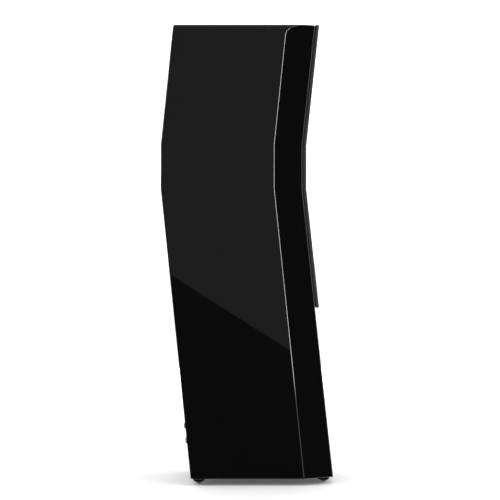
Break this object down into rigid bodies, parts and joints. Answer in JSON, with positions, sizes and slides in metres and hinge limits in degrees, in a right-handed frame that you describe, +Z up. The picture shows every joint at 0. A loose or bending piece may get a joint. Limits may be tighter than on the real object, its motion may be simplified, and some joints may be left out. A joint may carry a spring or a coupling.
{
  "type": "floorstanding speaker",
  "caption": "Tall gloss-black loudspeaker, bent at the middle, bevelled front edges, short cloth grille over a symmetric driver column, spiked feet",
  "frame": {"origin": "centre of the bounding box at the floor, with the four foot tips at Z = 0", "axes": "+Z up, -Y towards the listener (the front, with the grille), +X across the width"},
  "size_m": [0.23, 0.3998, 1.068],
  "materials": {
    "lacquer": "piano gloss lacquer",
    "underside_paint": "satin black paint",
    "fibreboard": "raw fibreboard",
    "foam": "open-cell foam",
    "grille_board": "satin black",
    "grille_fabric": "fine knit",
    "magnet_nickel": "nickel plate",
    "foot_black": "satin black",
    "brass": "turned",
    "port_plastic": "fine texture",
    "cup_plastic": "smooth",
    "post_metal": "nickel plate",
    "gold_plate": "gold plate",
    "knob_red": "satin, with a red ring",
    "knob_black": "satin, with a black ring",
    "circuit_board": "solder resist",
    "copper_wire": "enamelled wire",
    "capacitor_film": "heat-shrink film",
    "cable_sleeve": "soft",
    "plate_black": "satin black",
    "dome_metal": "anodised",
    "basket_metal": "cast and painted black",
    "ferrite": "ferrite and plated steel",
    "cone_fibre": "woven fibre",
    "cap_fibre": "smooth",
    "surround_rubber": "matt",
    "screw_steel": "black oxide"
  },
  "bodies": {
    "cabinet": {"side_panel_left": "lacquer", "side_panel_right": "lacquer", "front_baffle": "lacquer", "back_panel": "lacquer", "top_panel": "lacquer", "bottom_panel": "underside_paint", "window_braces": "fibreboard", "midrange_tub": "fibreboard", "damping_foam": "foam", "foot_inserts": "brass", "port_upper": "port_plastic", "port_lower": "port_plastic", "terminal_cup": "cup_plastic", "binding_posts": "post_metal", "jumper_straps": "gold_plate", "crossover_board": "circuit_board", "crossover_coils": "copper_wire", "crossover_capacitors": "capacitor_film", "wiring_harness": "cable_sleeve", "tweeter_faceplate": "plate_black", "tweeter_mesh": "plate_black", "tweeter_motor": "ferrite", "woofer_motors": "ferrite", "midrange_motors": "ferrite", "mounting_screws": "screw_steel", "woofer_upper_basket": "basket_metal", "woofer_upper_suspension": "surround_rubber", "midrange_upper_basket": "basket_metal", "midrange_upper_suspension": "surround_rubber", "woofer_lower_basket": "basket_metal", "woofer_lower_suspension": "surround_rubber", "midrange_lower_basket": "basket_metal", "midrange_lower_suspension": "surround_rubber"},
    "grille": {"grille_frame": "grille_board", "grille_cloth": "grille_fabric", "grille_magnets": "magnet_nickel"},
    "foot_front_left": {"foot_front_left": "foot_black"},
    "foot_front_right": {"foot_front_right": "foot_black"},
    "foot_rear_left": {"foot_rear_left": "foot_black"},
    "foot_rear_right": {"foot_rear_right": "foot_black"},
    "woofer_upper_diaphragm": {"woofer_upper_cone": "cone_fibre", "woofer_upper_dust_cap": "cap_fibre", "woofer_upper_voice_coil": "copper_wire"},
    "woofer_lower_diaphragm": {"woofer_lower_cone": "cone_fibre", "woofer_lower_dust_cap": "cap_fibre", "woofer_lower_voice_coil": "copper_wire"},
    "midrange_upper_diaphragm": {"midrange_upper_cone": "cone_fibre", "midrange_upper_voice_coil": "copper_wire"},
    "midrange_lower_diaphragm": {"midrange_lower_cone": "cone_fibre", "midrange_lower_voice_coil": "copper_wire"},
    "tweeter_diaphragm": {"tweeter_dome": "dome_metal", "tweeter_voice_coil": "copper_wire"},
    "washer_high_red": {"washer_high_red": "gold_plate"},
    "knob_high_red": {"knob_high_red": "knob_red"},
    "washer_high_black": {"washer_high_black": "gold_plate"},
    "knob_high_black": {"knob_high_black": "knob_black"},
    "washer_low_red": {"washer_low_red": "gold_plate"},
    "knob_low_red": {"knob_low_red": "knob_red"},
    "washer_low_black": {"washer_low_black": "gold_plate"},
    "knob_low_black": {"knob_low_black": "knob_black"}
  },
  "joints": [
    {"name": "grille_lift_off", "type": "slide", "parent": "cabinet", "child": "grille", "axis": [0, -1, 0], "range_m": [0, 0.06]},
    {"name": "foot_front_left_height", "type": "slide", "parent": "cabinet", "child": "foot_front_left", "axis": [0, 0, -1], "range_m": [0, 0.008]},
    {"name": "foot_front_right_height", "type": "slide", "parent": "cabinet", "child": "foot_front_right", "axis": [0, 0, -1], "range_m": [0, 0.008]},
    {"name": "foot_rear_left_height", "type": "slide", "parent": "cabinet", "child": "foot_rear_left", "axis": [0, 0, -1], "range_m": [0, 0.008]},
    {"name": "foot_rear_right_height", "type": "slide", "parent": "cabinet", "child": "foot_rear_right", "axis": [0, 0, -1], "range_m": [0, 0.008]},
    {"name": "woofer_upper_stroke", "type": "slide", "parent": "cabinet", "child": "woofer_upper_diaphragm", "axis": [0, -0.9943, -0.1063], "range_m": [-0.005, 0.005], "stiffness_N_per_m": 1200, "deforming": ["woofer_upper_suspension"]},
    {"name": "woofer_lower_stroke", "type": "slide", "parent": "cabinet", "child": "woofer_lower_diaphragm", "axis": [0, -0.9943, 0.1063], "range_m": [-0.005, 0.005], "stiffness_N_per_m": 1200, "deforming": ["woofer_lower_suspension"]},
    {"name": "midrange_upper_stroke", "type": "slide", "parent": "cabinet", "child": "midrange_upper_diaphragm", "axis": [0, -0.9943, -0.1063], "range_m": [-0.002, 0.002], "stiffness_N_per_m": 2000, "deforming": ["midrange_upper_suspension"]},
    {"name": "midrange_lower_stroke", "type": "slide", "parent": "cabinet", "child": "midrange_lower_diaphragm", "axis": [0, -0.9943, 0.1063], "range_m": [-0.002, 0.002], "stiffness_N_per_m": 2000, "deforming": ["midrange_lower_suspension"]},
    {"name": "tweeter_stroke", "type": "slide", "parent": "cabinet", "child": "tweeter_diaphragm", "axis": [0, -1, 0], "range_m": [-0.0005, 0.0005], "stiffness_N_per_m": 3000},
    {"name": "knob_high_red_travel", "type": "slide", "parent": "cabinet", "child": "washer_high_red", "axis": [0, 0.9947, -0.1028], "range_m": [0, 0.005]},
    {"name": "knob_high_red_turn", "type": "hinge", "parent": "washer_high_red", "child": "knob_high_red", "pos_m": [-0.019, 0.1421, 0.12811], "axis": [0, 0.9947, -0.1028], "range_deg": [0, 1440]},
    {"name": "knob_high_black_travel", "type": "slide", "parent": "cabinet", "child": "washer_high_black", "axis": [0, 0.9947, -0.1028], "range_m": [0, 0.005]},
    {"name": "knob_high_black_turn", "type": "hinge", "parent": "washer_high_black", "child": "knob_high_black", "pos_m": [0.019, 0.1421, 0.12811], "axis": [0, 0.9947, -0.1028], "range_deg": [0, 1440]},
    {"name": "knob_low_red_travel", "type": "slide", "parent": "cabinet", "child": "washer_low_red", "axis": [0, 0.9947, -0.1028], "range_m": [0, 0.005]},
    {"name": "knob_low_red_turn", "type": "hinge", "parent": "washer_low_red", "child": "knob_low_red", "pos_m": [-0.019, 0.13846, 0.09289], "axis": [0, 0.9947, -0.1028], "range_deg": [0, 1440]},
    {"name": "knob_low_black_travel", "type": "slide", "parent": "cabinet", "child": "washer_low_black", "axis": [0, 0.9947, -0.1028], "range_m": [0, 0.005]},
    {"name": "knob_low_black_turn", "type": "hinge", "parent": "washer_low_black", "child": "knob_low_black", "pos_m": [0.019, 0.13846, 0.09289], "axis": [0, 0.9947, -0.1028], "range_deg": [0, 1440]}
  ],
  "couplings": [
    {"joint": "knob_high_red_turn", "follows": "knob_high_red_travel", "rad_per_m": 5026.5},
    {"joint": "knob_high_black_turn", "follows": "knob_high_black_travel", "rad_per_m": 5026.5},
    {"joint": "knob_low_red_turn", "follows": "knob_low_red_travel", "rad_per_m": 5026.5},
    {"joint": "knob_low_black_turn", "follows": "knob_low_black_travel", "rad_per_m": 5026.5}
  ]
}
